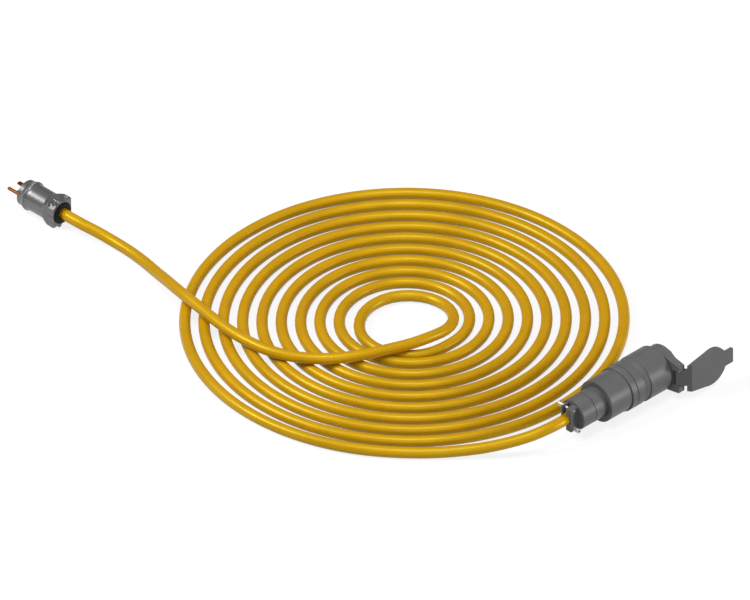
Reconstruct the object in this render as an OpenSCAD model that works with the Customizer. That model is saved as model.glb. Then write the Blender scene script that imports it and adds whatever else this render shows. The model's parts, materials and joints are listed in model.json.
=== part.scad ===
// Shore power cord: a male plug, a flat coil of cord and a weatherproof female connector with a lid.
// The connector lies along +Y with its mouth at +Y, the plug along X with its prongs at -X.
// The origin is on the floor, under the middle of the connector and its open lid.

/* [Cord] */
// Outside diameter of the cord
cord_d = 15.24; // [12:0.01:16]
// Radius of the outermost turn, to the middle of the cord
coil_r = 304.8; // [300:0.1:320]
// Step from one turn of the coil to the next
coil_pitch = 25.4; // [24:0.1:26]
// Turns in the flat coil, counted from the connector
coil_turns = 9; // [8:1:9]
// Clear space round the cord where it passes a hole
cord_gap = 0.1; // [0.05:0.01:0.3]

/* [Connector housing] */
// Radius of the two rear sections
rear_r = 21.9; // [21:0.1:24]
// Length of the strain relief section
relief_len = 23; // [20:0.1:30]
// Length of the gland section
gland_len = 21; // [18:0.1:30]
// Radius of the barrel
barrel_r = 29.7; // [29:0.1:31]
// Length of the barrel
barrel_len = 37.7; // [34:0.1:50]
// Radius of the two rings on the joint
ring_r = 31.8; // [30.5:0.1:32.2]
// Length of the coupling ring
coupling_len = 10; // [9:0.1:14]
// Length of the lock ring
lock_len = 14; // [10:0.1:18]
// Radius of the neck
neck_r = 30.4; // [29:0.1:31.5]
// Length of the neck
neck_len = 10; // [6:0.1:14]
// Radius of the front housing, which the connector rests on
front_r = 32.3; // [32:0.1:33]
// Length of the front housing past the neck
front_len = 37; // [32:0.1:45]
// Inside radius of the barrel and the front housing
inside_r = 24; // [23:0.1:25]
// Wall at the back of the barrel
back_wall = 6; // [4:0.1:8]
// Gap between parts that slide into one another
slide_gap = 0.1; // [0.05:0.01:0.3]

/* [Cord clamp] */
// Length of the clamp jaws along the cord
jaw_len = 12.6; // [11:0.1:14]
// Reach of each jaw from the axis
jaw_half_w = 9.4; // [9:0.1:11]
// Half the height of the jaws
jaw_half_h = 17.2; // [17:0.1:19]
// Open split between the two jaws
jaw_split = 7; // [6:0.1:7.2]
// Height of each clamp screw from the axis
jaw_screw_z = 13.8; // [12.5:0.1:14]
// Radius of a clamp screw's shank
jaw_screw_r = 2.1; // [1.5:0.1:2.3]
// Radius of a clamp screw's head
jaw_head_r = 3.5; // [2.8:0.1:3.6]
// Height of a clamp screw's head
jaw_head_h = 9; // [4:0.1:10]

/* [Hinge collar and lid] */
// Radius of the hinge collar
collar_r = 27.7; // [27.2:0.1:28.5]
// Length of the hinge collar
collar_len = 16; // [14:0.1:20]
// Radius of the mouth
mouth_r = 20; // [19.5:0.1:20.3]
// Reach of the hinge ears from the axis
ear_reach = 43.2; // [42.5:0.1:45]
// Half the height over the two ears
ear_half_h = 20.4; // [19:0.1:21]
// Half the gap between the ears
ear_gap = 12.4; // [11:0.1:14]
// Width of an ear along the connector
ear_width = 9.8; // [9:0.1:10.5]
// Distance of the hinge pin from the connector's axis
pin_x = 37.7; // [37.4:0.1:38]
// Distance of the hinge pin behind the collar's front face
pin_back = 9; // [8.6:0.1:9.2]
// Radius of the hinge pin
pin_r = 1.6; // [1.4:0.05:1.8]
// Running clearance round the hinge pin
pin_gap = 0.05; // [0.03:0.01:0.1]
// Thickness of the lid plate
lid_t = 4.65; // [4:0.05:6]
// Gap between the closed lid and the collar
lid_gap = 0.85; // [0.7:0.05:1.2]
// Radius of the lid's round part
lid_r = 28; // [27:0.1:30]
// Half the height of the lid at its hinge edge
lid_edge_h = 20.4; // [18:0.1:22]
// Distance from the hinge pin to the middle of the lid's round part
lid_reach = 46.5; // [45:0.1:48]
// Distance from the hinge pin to the end of the thumb tab
tab_reach = 86.5; // [82:0.1:90]
// Half the height of the thumb tab
tab_half_h = 10.75; // [8:0.05:14]
// Height of the lid gasket above the lid
gasket_proud = 0.5; // [0.3:0.05:0.6]

/* [Contacts] */
// Distance between the two blades
blade_pitch = 12.7; // [12.5:0.01:12.8]
// Width of a blade
blade_w = 6.35; // [6.2:0.01:6.5]
// Thickness of a blade
blade_t = 1.52; // [1.4:0.01:1.6]
// Diameter of the ground pin
ground_d = 4.75; // [4.6:0.01:4.9]
// Distance from the blades' middle line to the ground pin
ground_pitch = 11.9; // [11.7:0.01:12.1]
// Side shift of the blades from the plug's axis
blade_shift = 2; // [1.5:0.1:2.2]
// Reach of the blades in front of the plug's face
blade_out = 16.5; // [15:0.1:18]
// Reach of the ground pin in front of the plug's face
ground_out = 23.8; // [20:0.1:25]
// Depth of the contact face behind the connector's mouth
recess = 28.7; // [26:0.1:32]
// Length of the contact carrier
carrier_len = 66; // [62:0.1:70]

/* [Plug] */
// Radius of the plug's face
face_r = 18.1; // [17.5:0.1:18.4]
// Length of the front cap
cap_len = 12.4; // [11:0.1:15]
// Radius of the plug's front ring
plug_ring_r = 20.5; // [19.8:0.1:20.5]
// Length of the hollow slope behind the ring
waist_len = 8.5; // [6:0.1:10]
// Radius of the plug's body
plug_r = 18.4; // [17.8:0.1:18.8]
// Length of the straight part of the body
plug_len = 25.6; // [24:0.1:36]
// Length of the flare at the back of the body
flare_len = 11; // [9:0.1:14]
// Radius over the corners at the end of the flare
flare_r = 23.3; // [22.5:0.1:23.8]
// Inside radius of the body
plug_inside_r = 13; // [12.9:0.05:13.4]
// Length of the cord clamp behind the body
plug_clamp_len = 9.9; // [8:0.1:14]
// Half the side of the square cord clamp
plug_clamp_half = 16.5; // [16:0.1:17]
// Height of the plug's axis above the floor
plug_rest = 20.6; // [20.6:0.1:22]
// Radius of the rubber grommet
grommet_r = 15.4; // [12:0.05:15.5]
// Length of the rubber grommet
grommet_len = 2.8; // [2:0.1:8]

/* [Hidden] */
$fn = 64;
cord_r = cord_d / 2;
hole_r = cord_r + cord_gap;
over = 1;

// Spigots inside the two rings, which share the room between the inside and the rings
spigot_share = 0.42;
spigot_r = inside_r + spigot_share * (ring_r - inside_r);
carrier_r = inside_r - slide_gap;

// Stations along the connector, from the back of the strain relief
gland_y = relief_len;
barrel_y = gland_y + gland_len;
coupling_y = barrel_y + barrel_len;
lock_y = coupling_y + coupling_len;
neck_y = lock_y + lock_len;
front_y = neck_y + neck_len;
collar_y = front_y + front_len;
mouth_y = collar_y + collar_len;
face_y = mouth_y - recess;
carrier_y = face_y - carrier_len;
front_lip = 2.5;
front_edge = 0.8;
plate_t = 4.3;
plate_y = carrier_y - plate_t;
screw_short = 0.5;
rear_edge = 0.8;
relief_wall = 6;
bushing_inset = 5;
bushing_end = relief_len - bushing_inset;
bushing_seat_r = 17;
spigot_back = 2;
spigot_y = lock_y - spigot_back;
seal_t = 1;
nut_h = 5;
nut_gap = 1;
nut_r = inside_r - nut_gap;
nut_wall = 2;
gland_spigot_r = nut_r * cos(30) - nut_wall;
gland_spigot_y = barrel_y + back_wall + nut_h;
gland_bore_r = 13;
groove_inset = 4;
groove_y = collar_y + groove_inset;
groove_w = 6;
groove_deep = 1.5;
groove_r = mouth_r + groove_deep;
seal_lip = 1;

// Hinge and lid
pin_y = mouth_y - pin_back;
pin_past = 0.6;
pin_half = ear_half_h + pin_past;
lid_in = pin_x + pin_back + lid_gap;
lid_out = lid_in + lid_t;
lid_y = pin_y + lid_reach;
tab_y = pin_y + tab_reach;
lid_edge_step = 5.4;
lid_edge_y = pin_y + lid_edge_step;
arm_half_t = 3;
arm_back = 4;
arm_len = 13.6;
arm_clear = 0.4;
slot_x = pin_x - norm([arm_back, arm_half_t]) - arm_clear;
gasket_y = pin_y + pin_x;
gasket_inset = 1;
gasket_in = mouth_r + gasket_inset;
gasket_w = 3.2;
gasket_out = gasket_in + gasket_w;
gasket_deep = 1.2;
flank_step = 0.3;
flank_rise = 0.8;
flank_from = 1;
flank_back = 1.2;
shoulder_x = 13;
ear_from = 27;

// Contacts, seen along the axis of the plug or the connector
blade_h = blade_pitch / 2;
ground_side = blade_shift - ground_pitch;
contact_len = 24;
contact_gap = 0.15;
contact_inset = 3;
contact_end = face_y - contact_inset;
contact_y = contact_end - contact_len;
contact_back = 3;
clip_wall = 1;
clip_half_t = 2.4;
bar_half_t = 1.5;
ground_wall = 1.6;
block_inset = 4;
block_y = carrier_y + block_inset;
block_len = 12;
block_half = 4;
block_half_t = 3;
block_mid = block_y + block_len / 2;
pocket_gap = 0.2;
slot_gap = 0.2;
wire_r = 1.75;
wire_gap = 0.05;
wire_hole_r = wire_r + wire_gap;
wire_stop = 2;
wire_spread = 3.2;
term_screw_r = 1.4;
term_screw_len = 2;
term_hole_r = term_screw_r + wire_gap;
term_hole_len = 10;
term_head_r = 2.6;
term_head_h = 2;
driver_room = 3.2;
pocket_top = block_half_t + term_head_h + driver_room;
pocket_low = block_half_t + pocket_gap;
root_step = 0.3;
ground_root_r = ground_d / 2 + root_step;
ground_hole_r = ground_d / 2 + contact_gap;
slot_half_w = blade_w / 2 + slot_gap;
slot_half_t = blade_t / 2 + slot_gap;
jacket_past = 3;
jacket_end = bushing_end + jacket_past;
wire_run = 14;
bend_y = carrier_y - wire_run;

// Where each wire reaches its terminal in the connector
wire_drop = 1.25;
wire_line = [blade_shift, blade_h - wire_drop];
wire_neutral = [blade_shift, wire_drop - blade_h];
wire_ground = [ground_side + wire_drop, 0];
wires = [wire_line, wire_neutral, wire_ground];

// Screws inside the connector and in its collar
carrier_screw_r = 1.5;
carrier_hole_r = carrier_screw_r + slide_gap;
carrier_hole_len = 18;
carrier_tip_gap = 1;
carrier_screw_len = plate_t + carrier_hole_len - carrier_tip_gap;
carrier_head_r = 2.7;
carrier_rim = 1.7;
carrier_screw_at = carrier_r - carrier_rim - carrier_head_r;
carrier_screw_turn = 40;
carrier_head_h = 2;
collar_screw_r = 1.3;
collar_hole_r = collar_screw_r + slide_gap;
collar_screw_shift = 0.5;
collar_screw_at = (mouth_r + collar_r) / 2 + collar_screw_shift;
collar_head_r = 2.3;
head_sunk = 0.3;
collar_head_h = 2.4;
collar_screw_len = 24;

// Plug stations, from the front of the straight body
ring_u = -waist_len;
cap_u = ring_u - cap_len;
flare_u = plug_len;
clamp_u = plug_len + flare_len;
grommet_u = clamp_u + plug_clamp_len;
cord_u = grommet_u + grommet_len;
cap_straight = 7;
face_edge = 0.8;
ring_edge = 1.5;
flare_edge = 1.6;
flat_from = 2;
flat_rise = flat_from * (flare_r - plug_r) / (flare_len - flare_edge);
flat_tilt = atan2(plug_r + flat_rise - plug_clamp_half, flare_len - flat_from);
term_plate_len = 13;
term_plate_half = 1.2;
term_inset = 7;
term_u = ring_u + term_inset;
plug_screw_len = 2.4;
plug_wire_inset = 10.2;
plug_wire_u = ring_u + plug_wire_inset;
plug_jacket_inset = 8;
plug_jacket_u = plug_len - plug_jacket_inset;
plug_wire_bend = 9;
plug_rib_y = 4.2;
plug_rib_r = 3.2;
plug_screw_y = 12.2;
plug_screw_r = 1.6;
plug_head_r = 2.8;
cap_screw_at = 14.6;
cap_screw_r = 1.25;
cap_hole_r = cap_screw_r + slide_gap;
cap_head_r = 2.2;
cap_head_h = 1.8;
cap_hole_len = 24;
cap_screw_bite = 16;
cap_screw_len = cap_len + cap_screw_bite;
clamp_corner = 4.5;
clamp_split = 0.4;
clamp_wide = 60;

// Where the pieces lie round the middle of the coil
lift = front_r - cord_r;
conn_shift = -0.7;
conn_x = coil_r + lift;
conn_y = conn_shift - lift;
plug_x = -529;
plug_y = -162.8;
origin_x = conn_x + (lid_out - front_r) / 2;
origin_y = conn_y + (tab_y - jaw_len) / 2;

// The flat coil
rings_per_turn = 24;
coil_sides = 6;
coil_first = 3;
coil_poly_r = cord_r / cos(180 / coil_sides);
function coil_point(k) =
    let (t = k / rings_per_turn, r = coil_r - coil_pitch * t)
    [r * cos(-360 * t), r * sin(-360 * t), cord_r];
function coil_dir(k) = unit(coil_point(k + 0.01) - coil_point(k - 0.01));
coil_last = coil_turns * rings_per_turn;
coil_start = coil_point(coil_first) - cord_d * coil_dir(coil_first);
coil_end = coil_point(coil_last) + cord_d * coil_dir(coil_last);
coil_path = concat([coil_start], [for (k = [coil_first:coil_last]) coil_point(k)], [coil_end]);

// Free stretches: x and y round the middle of the coil, and height above a cord lying on the floor
tail_route = [
    [329.7, -50, 24.7], [327.5, -68, 23.6], [320, -90, 19.8], [305, -114, 13.8],
    [284, -139, 7], [260, -165, 2.3], [240, -186.5, 0.4]];
lead_route = [
    [71, -36, 0], [58, -56, 0], [37.5, -70.5, 0], [11.5, -76, 0], [-15, -71, 0],
    [-37, -56, 0], [-52.5, -34, 0], [-58.5, -7, 0], [-53.5, 20, 0], [-38, 41, 0.1],
    [-15, 54, 0.5], [9, 56, 1.6], [32, 48, 3.8], [50, 31, 6.8], [59.5, 8, 10.2],
    [61, -13, 13.2], [59.5, -32, 15.2], [55.5, -51, 15.9], [48, -71, 15.9], [38, -94, 15.9],
    [26, -118, 15.9], [12, -141, 15.9], [-6, -161.5, 15.9], [-27, -178, 15.9], [-52, -190.5, 15.9],
    [-82, -198, 15.9], [-116, -200, 15.9], [-154, -197.5, 15.9], [-194, -191, 15.9], [-230, -185, 15.8],
    [-256, -179, 14], [-282, -170.5, 9.6], [-304, -163, 4.8], [-326, -156, 1.4], [-350, -151, 0.1],
    [-376, -148.5, 0.1], [-403, -149.5, 1.8], [-429, -155, 7], [-446, -160, 10.6], [-461, -162.5, 12.7]];
free_sides = 12;
free_poly_r = cord_r / cos(180 / free_sides);
function on_floor(route) = [for (p = route) [p[0], p[1], p[2] + cord_r]];
tail_path = concat([[conn_x, conn_y - jaw_len, front_r]], on_floor(tail_route), [coil_start]);
lead_path = concat([coil_end], on_floor(lead_route), [[plug_x + cord_u, plug_y, plug_rest]]);

// The least gap between the coil's turns, taken between ring middles at least half a turn apart
far_pairs = [for (i = [0:len(coil_path) - 1], j = [i + rings_per_turn / 2:len(coil_path) - 1])
    norm(coil_path[i] - coil_path[j])];
echo(least_gap_in_coil = min(far_pairs) - 2 * coil_poly_r);

function unit(v) = v / norm(v);

// A ring of a swept tube, with a flat side down
function tube_ring(p, dir, r, sides) =
    let (side = unit(cross(dir, [0, 0, 1])), up = cross(side, dir), turn = sides == 6 ? 0 : 0.5)
    [for (j = [0:sides - 1])
        let (a = 360 * (j + turn) / sides)
        p + r * (cos(a) * side + sin(a) * up)];
function tube_dir(path, i, first, last) =
    i == 0 ? first : i == len(path) - 1 ? last : unit(path[i + 1] - path[i - 1]);

// One unbroken tube along a path, square to the given directions at its ends
module swept_tube(path, r, sides, first, last) {
    rings = len(path);
    points = [for (i = [0:rings - 1]) each tube_ring(path[i], tube_dir(path, i, first, last), r, sides)];
    walls = [for (i = [0:rings - 2], j = [0:sides - 1])
        let (a = i * sides + j, b = i * sides + (j + 1) % sides)
        each [[a, b, b + sides], [a, b + sides, a + sides]]];
    back = [for (j = [1:sides - 2]) [0, j + 1, j]];
    base = (rings - 1) * sides;
    front = [for (j = [1:sides - 2]) [base, base + j, base + j + 1]];
    polyhedron(points, concat(walls, back, front));
}

// Places and directions
module placed() translate([-origin_x, -origin_y, 0]) children();
module on_connector() placed() translate([conn_x, conn_y, front_r]) children();
module on_plug() placed() translate([plug_x, plug_y, plug_rest]) children();
module along_y(y) translate([0, y, 0]) rotate([-90, 0, 0]) children();
module along_x(x) translate([x, 0, 0]) rotate([0, 90, 0]) children();
module slab_y(y0, y1) translate([0, y1, 0]) rotate([90, 0, 0]) linear_extrude(height = y1 - y0) children();
module block(low, high) translate(low) cube(high - low);

// An insulated wire with one bend, square to the given direction at both ends
module bent_wire(a, b, c, dir) swept_tube([a, b, c], wire_r, free_sides, dir, dir);

// A cheese-head screw along +Z with its head below zero and a straight slot
module slotted_screw(shank_r, shank_len, head_r, head_h) {
    slot_w = head_r * 0.35;
    cylinder(r = shank_r, h = shank_len);
    difference() {
        translate([0, 0, -head_h]) cylinder(r = head_r, h = head_h);
        translate([-head_r - over, -slot_w / 2, -head_h - over])
            cube([2 * (head_r + over), slot_w, head_h * 0.45 + over]);
    }
}

// Cord

module cord_coil()
    color("goldenrod") placed()
        swept_tube(coil_path, coil_poly_r, coil_sides, coil_dir(coil_first), coil_dir(coil_last));

module cord_tail()
    color("goldenrod") placed()
        swept_tube(tail_path, free_poly_r, free_sides, [0, -1, 0], coil_dir(coil_first));

module cord_lead()
    color("goldenrod") placed()
        swept_tube(lead_path, free_poly_r, free_sides, coil_dir(coil_last), [-1, 0, 0]);

// Connector, cord end

// Half of the clamp, a flat block round the cord
module clamp_jaw(x0, x1) {
    screw_hole_r = jaw_screw_r + slide_gap;
    difference() {
        block([x0, -jaw_len, -jaw_half_h], [x1, 0, jaw_half_h]);
        along_y(-jaw_len - over) cylinder(r = hole_r, h = jaw_len + 2 * over);
        for (side = [-1, 1])
            translate([-jaw_half_w - over, -jaw_len / 2, side * jaw_screw_z])
                along_x(0) cylinder(r = screw_hole_r, h = 2 * (jaw_half_w + over));
    }
}

module clamp_jaw_left()
    color("dimgray") on_connector() clamp_jaw(-jaw_half_w, -jaw_split);

module clamp_jaw_right()
    color("dimgray") on_connector() clamp_jaw(0, jaw_half_w);

// A cap screw along +Z with its head below zero and a six-sided socket
module cap_screw(shank_r, shank_len, head_r, head_h) {
    socket_r = 0.6 * head_r;
    cylinder(r = shank_r, h = shank_len);
    difference() {
        translate([0, 0, -head_h]) cylinder(r = head_r, h = head_h);
        translate([0, 0, -head_h - over]) cylinder(r = socket_r, h = head_h / 2 + over, $fn = 6);
    }
}

// Two screws across the jaws, put in from opposite sides
module clamp_screws()
    color("silver") on_connector()
        for (side = [-1, 1])
            translate([-side * jaw_half_w, -jaw_len / 2, side * jaw_screw_z])
                rotate([0, 0, side > 0 ? 0 : 180]) along_x(0)
                    cap_screw(jaw_screw_r, 2 * jaw_half_w - screw_short, jaw_head_r, jaw_head_h);

module strain_relief()
    color("dimgray") on_connector() along_y(0)
        difference() {
            rotate_extrude()
                polygon([
                    [hole_r, 0], [rear_r, 0], [rear_r, relief_len - rear_edge],
                    [rear_r - rear_edge, relief_len], [hole_r, relief_len]]);
            translate([0, 0, relief_wall]) cylinder(r = bushing_seat_r, h = relief_len);
        }

module sealing_bushing()
    color("black") on_connector() along_y(relief_wall)
        difference() {
            cylinder(r = bushing_seat_r - slide_gap, h = bushing_end - relief_wall);
            translate([0, 0, -over]) cylinder(r = hole_r, h = relief_len);
        }

// Gland section with a rear spigot that presses on the bushing and a front spigot for the nut
module gland_body()
    color("dimgray") on_connector()
        difference() {
            union() {
                along_y(gland_y)
                    rotate_extrude()
                        polygon([
                            [0, 0], [rear_r - rear_edge, 0], [rear_r, rear_edge],
                            [rear_r, gland_len], [0, gland_len]]);
                along_y(bushing_end) cylinder(r = bushing_seat_r - slide_gap, h = gland_y - bushing_end);
                along_y(barrel_y) cylinder(r = gland_spigot_r, h = gland_spigot_y - barrel_y);
            }
            along_y(bushing_end - over) cylinder(r = gland_bore_r, h = gland_spigot_y);
        }

module gland_nut()
    color("gray") on_connector() along_y(barrel_y + back_wall)
        difference() {
            cylinder(r = nut_r, h = nut_h, $fn = 6);
            translate([0, 0, -over]) cylinder(r = gland_spigot_r + slide_gap / 2, h = gland_len);
        }

module barrel()
    color("dimgray") on_connector()
        difference() {
            union() {
                along_y(barrel_y) cylinder(r = barrel_r, h = barrel_len);
                along_y(coupling_y) cylinder(r = spigot_r, h = spigot_y - coupling_y);
            }
            along_y(barrel_y - over) cylinder(r = gland_spigot_r + slide_gap, h = back_wall + 2 * over);
            along_y(barrel_y + back_wall) cylinder(r = inside_r, h = barrel_len + coupling_len);
        }

// A plain ring on the joint between the barrel and the front housing
module joint_ring(y, len) {
    edge = 0.8;
    along_y(y)
        rotate_extrude()
            polygon([
                [spigot_r + slide_gap, 0], [ring_r - edge, 0], [ring_r, edge],
                [ring_r, len - edge], [ring_r - edge, len], [spigot_r + slide_gap, len]]);
}

module coupling_ring()
    color("dimgray") on_connector() joint_ring(coupling_y, coupling_len);

module lock_ring()
    color("dimgray") on_connector() joint_ring(lock_y, lock_len);

module housing_seal()
    color("black") on_connector() along_y(spigot_y)
        difference() {
            cylinder(r = spigot_r - slide_gap, h = seal_t);
            translate([0, 0, -over]) cylinder(r = inside_r + slide_gap, h = seal_t + 2 * over);
        }

// Places of the screws that hold the hinge collar
module at_collar_screws()
    for (a = [45:90:315])
        rotate([0, a, 0]) translate([collar_screw_at, 0, 0]) children();

module front_housing()
    color("dimgray") on_connector()
        difference() {
            union() {
                along_y(spigot_y + seal_t) cylinder(r = spigot_r, h = neck_y - spigot_y - seal_t);
                along_y(neck_y) cylinder(r = neck_r, h = neck_len);
                along_y(front_y)
                    rotate_extrude()
                        polygon([
                            [0, 0], [front_r, 0], [front_r, front_len - front_edge],
                            [front_r - front_edge, front_len], [0, front_len]]);
            }
            along_y(spigot_y) cylinder(r = inside_r, h = face_y - spigot_y);
            along_y(spigot_y) cylinder(r = inside_r - front_lip, h = collar_y);
            at_collar_screws()
                along_y(mouth_y - collar_head_h - collar_screw_len - over)
                    cylinder(r = collar_hole_r, h = collar_screw_len + over);
        }

// The hinge collar before it is cut: a disc and a slab that tapers to the ears, stepped in front of them
module collar_blank() {
    ear_y = pin_y + ear_width / 2;
    high = collar_r + flank_rise;
    union() {
        along_y(collar_y) cylinder(r = collar_r, h = collar_len);
        difference() {
            slab_y(collar_y + flank_back, mouth_y - flank_step)
                polygon([
                    [flank_from, high], [ear_reach, ear_half_h],
                    [ear_reach, -ear_half_h], [flank_from, -high]]);
            translate([0, 0, -front_r])
                linear_extrude(height = 2 * front_r)
                    polygon([
                        [shoulder_x, mouth_y], [ear_from, ear_y],
                        [ear_reach + over, ear_y], [ear_reach + over, mouth_y]]);
        }
    }
}

// The room that the lid's arm needs between the ears, open and closed
module arm_room() {
    far = ear_reach + over;
    bevel = pin_x + pin_y - (arm_half_t + arm_clear) * sqrt(2);
    translate([0, 0, -ear_gap])
        linear_extrude(height = 2 * ear_gap)
            polygon([
                [slot_x, collar_y - over], [slot_x, bevel - slot_x], [bevel - mouth_y - over, mouth_y + over],
                [far, mouth_y + over], [far, collar_y - over]]);
}

module hinge_collar()
    color("dimgray") on_connector()
        difference() {
            collar_blank();
            along_y(collar_y - over) cylinder(r = mouth_r, h = collar_len + 2 * over);
            along_y(groove_y) cylinder(r = groove_r, h = groove_w);
            arm_room();
            translate([pin_x, pin_y, -front_r]) cylinder(r = pin_r, h = 2 * front_r);
            at_collar_screws() {
                along_y(collar_y - over) cylinder(r = collar_hole_r, h = collar_len + 2 * over);
                along_y(mouth_y - collar_head_h)
                    cylinder(r = collar_head_r + slide_gap, h = collar_head_h + over);
            }
        }

module collar_screws()
    color("silver") on_connector()
        at_collar_screws()
            translate([0, mouth_y - collar_head_h, 0]) rotate([90, 0, 0])
                slotted_screw(collar_screw_r, collar_screw_len, collar_head_r, collar_head_h - head_sunk);

module socket_seal()
    color("black") on_connector() along_y(groove_y)
        difference() {
            cylinder(r = groove_r - slide_gap, h = groove_w);
            translate([0, 0, -over]) cylinder(r = mouth_r - seal_lip, h = groove_w + 2 * over);
        }

module hinge_pin()
    color("gray") on_connector()
        translate([pin_x, pin_y, -pin_half]) cylinder(r = pin_r, h = 2 * pin_half);

// The lid plate before it is cut: a disc, the taper to the hinge edge and the thumb tab
module lid_blank() {
    reach = lid_y - lid_edge_y;
    touch_r = lid_r - flank_step;
    touch = 180 - atan2(lid_edge_h, reach) - acos(touch_r / norm([reach, lid_edge_h]));
    high = [lid_y + touch_r * cos(touch), touch_r * sin(touch)];
    union() {
        translate([lid_in, lid_y, 0]) along_x(0) cylinder(r = lid_r, h = lid_t);
        translate([lid_in, 0, 0])
            rotate([90, 0, 90])
                linear_extrude(height = lid_t)
                    polygon([[lid_edge_y, lid_edge_h], high, [high[0], -high[1]], [lid_edge_y, -lid_edge_h]]);
        block([lid_in, lid_y, -tab_half_h], [lid_out, tab_y, tab_half_h]);
    }
}

// The lid stands open at a right angle: a plate on a slanted arm that turns on the pin
module lid()
    color("dimgray") on_connector() {
        arm_half_h = ear_gap - arm_clear;
        bevel = 2 * lid_t;
        difference() {
            union() {
                difference() {
                    lid_blank();
                    translate([lid_in, lid_edge_y, -front_r])
                        rotate([0, 0, 45]) translate([-bevel, -bevel, 0])
                            cube([4 * bevel, bevel, 2 * front_r]);
                }
                translate([pin_x, pin_y, 0]) rotate([0, 0, 45])
                    block([-arm_back, -arm_half_t, -arm_half_h], [arm_len, arm_half_t, arm_half_h]);
            }
            translate([pin_x, pin_y, -front_r]) cylinder(r = pin_r + pin_gap, h = 2 * front_r);
            translate([lid_in - over, gasket_y, 0]) along_x(0)
                difference() {
                    cylinder(r = gasket_out + slide_gap, h = gasket_deep + over);
                    cylinder(r = gasket_in - slide_gap, h = gasket_deep + over);
                }
        }
    }

module lid_gasket()
    color("black") on_connector()
        translate([lid_in - gasket_proud, gasket_y, 0]) along_x(0)
            difference() {
                cylinder(r = gasket_out, h = gasket_deep + gasket_proud);
                translate([0, 0, -over]) cylinder(r = gasket_in, h = gasket_deep + gasket_proud + 2 * over);
            }

// Connector, inside

// The space that one blade contact needs, with its terminal block and screw
module blade_pocket(side) {
    h = side * blade_h;
    w = blade_w / 2 + clip_wall + pocket_gap;
    t = clip_half_t + pocket_gap;
    inner = h - side * pocket_low;
    outer = h + side * pocket_top;
    block([blade_shift - w, contact_y - over, h - t], [blade_shift + w, contact_end + pocket_gap, h + t]);
    block(
        [blade_shift - block_half - pocket_gap, carrier_y - over, min(inner, outer)],
        [blade_shift + block_half + pocket_gap, contact_y, max(inner, outer)]);
    block(
        [blade_shift - slot_half_w, contact_y, h - slot_half_t],
        [blade_shift + slot_half_w, face_y + over, h + slot_half_t]);
}

module ground_pocket() {
    socket_r = ground_d / 2 + ground_wall + pocket_gap;
    half = block_half + pocket_gap;
    translate([ground_side, 0, 0]) {
        along_y(contact_y - over) cylinder(r = socket_r, h = contact_len + over + pocket_gap);
        along_y(contact_y) cylinder(r = ground_hole_r, h = recess + carrier_len);
        block([-pocket_top, carrier_y - over, -half], [pocket_low, contact_y, half]);
    }
}

// Places of the screws that hold the back plate on the carrier
module at_carrier_screws()
    for (side = [-1, 1])
        rotate([0, side * carrier_screw_turn, 0]) translate([carrier_screw_at, 0, 0]) children();

module contact_carrier()
    color("ivory") on_connector()
        difference() {
            along_y(carrier_y) cylinder(r = carrier_r, h = carrier_len);
            for (side = [-1, 1]) blade_pocket(side);
            ground_pocket();
            at_carrier_screws()
                along_y(carrier_y - over) cylinder(r = carrier_hole_r, h = carrier_hole_len + over);
        }

module carrier_plate()
    color("ivory") on_connector()
        difference() {
            along_y(plate_y) cylinder(r = carrier_r, h = plate_t);
            for (w = wires)
                translate([w[0], plate_y - over, w[1]])
                    along_y(0) cylinder(r = wire_hole_r, h = plate_t + 2 * over);
            at_carrier_screws()
                along_y(plate_y - over) cylinder(r = carrier_hole_r, h = plate_t + 2 * over);
        }

module carrier_screws()
    color("silver") on_connector()
        at_carrier_screws()
            along_y(plate_y)
                slotted_screw(carrier_screw_r, carrier_screw_len, carrier_head_r, carrier_head_h);

// A sprung blade clip on a flat bar, with a terminal block at the back
module blade_contact(side) {
    h = side * blade_h;
    half_w = blade_w / 2 + clip_wall;
    gap_w = blade_w / 2 + contact_gap;
    gap_t = blade_t / 2 + contact_gap;
    left = blade_shift - block_half;
    right = blade_shift + block_half;
    difference() {
        union() {
            block(
                [blade_shift - half_w, contact_y, h - clip_half_t],
                [blade_shift + half_w, contact_end, h + clip_half_t]);
            block([left, block_y + block_len, h - bar_half_t], [right, contact_y, h + bar_half_t]);
            block([left, block_y, h - block_half_t], [right, block_y + block_len, h + block_half_t]);
        }
        block(
            [blade_shift - gap_w, contact_y + contact_back, h - gap_t],
            [blade_shift + gap_w, contact_end + over, h + gap_t]);
        translate([blade_shift, block_y - over, side * wire_line[1]])
            along_y(0) cylinder(r = wire_hole_r, h = block_len - wire_stop + over);
        translate([blade_shift, block_mid, h])
            rotate([side > 0 ? 0 : 180, 0, 0]) cylinder(r = term_hole_r, h = term_hole_len);
    }
}

module contact_line()
    color("goldenrod") on_connector() blade_contact(1);

module contact_neutral()
    color("silver") on_connector() blade_contact(-1);

// A round socket for the ground pin on a bar, with its terminal block
module contact_ground()
    color("goldenrod") on_connector()
        difference() {
            bar_y = block_y + block_len;
            translate([ground_side, 0, 0])
                union() {
                    along_y(contact_y) cylinder(r = ground_d / 2 + ground_wall, h = contact_len);
                    block([-bar_half_t, bar_y, -block_half], [bar_half_t, contact_y, block_half]);
                    block([-block_half_t, block_y, -block_half], [block_half_t, bar_y, block_half]);
                }
            translate([ground_side, 0, 0])
                along_y(contact_y + contact_back) cylinder(r = ground_hole_r, h = contact_len);
            translate([wire_ground[0], block_y - over, wire_ground[1]])
                along_y(0) cylinder(r = wire_hole_r, h = block_len - wire_stop + over);
            translate([ground_side, block_mid, 0])
                rotate([0, -90, 0]) cylinder(r = term_hole_r, h = term_hole_len);
        }

// A terminal screw along -Z whose head seats at zero
module terminal_screw(len) rotate([180, 0, 0]) slotted_screw(term_screw_r, len, term_head_r, term_head_h);

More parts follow.
